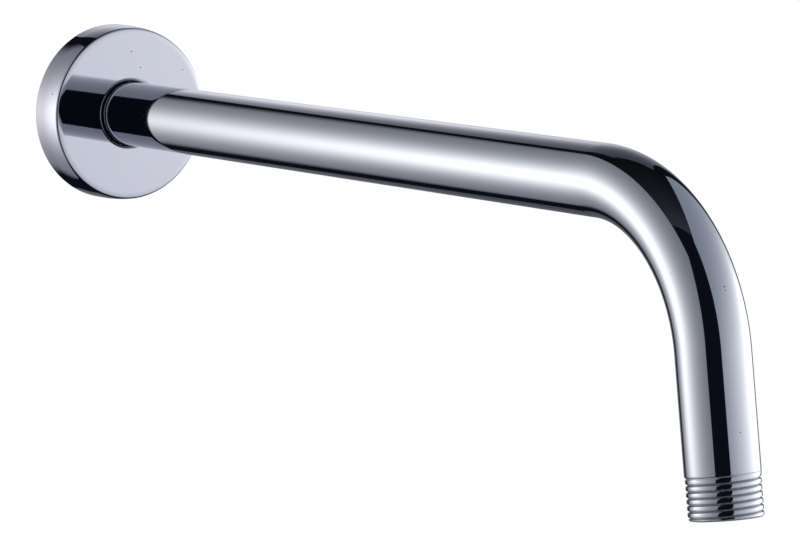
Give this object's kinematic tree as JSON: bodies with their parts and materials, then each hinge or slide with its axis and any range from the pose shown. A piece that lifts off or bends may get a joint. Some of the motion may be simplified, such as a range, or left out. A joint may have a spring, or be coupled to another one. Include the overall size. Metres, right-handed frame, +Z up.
{
  "type": "shower arm",
  "caption": "Chromed wall shower arm: a straight tube bent down at its outer end, pipe-threaded at both ends, with a round flange that slides along it to cover the hole in the wall.",
  "frame": {"origin": "on the arm's axis at the face of the wall, which is the back edge of the flange's rim", "axes": "+X out of the wall along the arm, +Z up, so the outlet leg drops towards -Z; both sides of the XZ plane are alike"},
  "size_m": [0.3503, 0.0584, 0.1186],
  "materials": {
    "chrome": "polished chrome plate on brass",
    "seal_rubber": "moulded black rubber"
  },
  "bodies": {
    "arm": {"arm_tube": "chrome"},
    "seal": {"flange_seal": "seal_rubber"},
    "flange": {"wall_flange": "chrome"}
  },
  "joints": [
    {"name": "flange_slide", "type": "slide", "parent": "arm", "child": "seal", "axis": [1, 0, 0], "range_m": [0, 0.25]},
    {"name": "flange_turn", "type": "hinge", "parent": "seal", "child": "flange", "pos_m": [0, 0, 0], "axis": [1, 0, 0], "continuous": true}
  ]
}
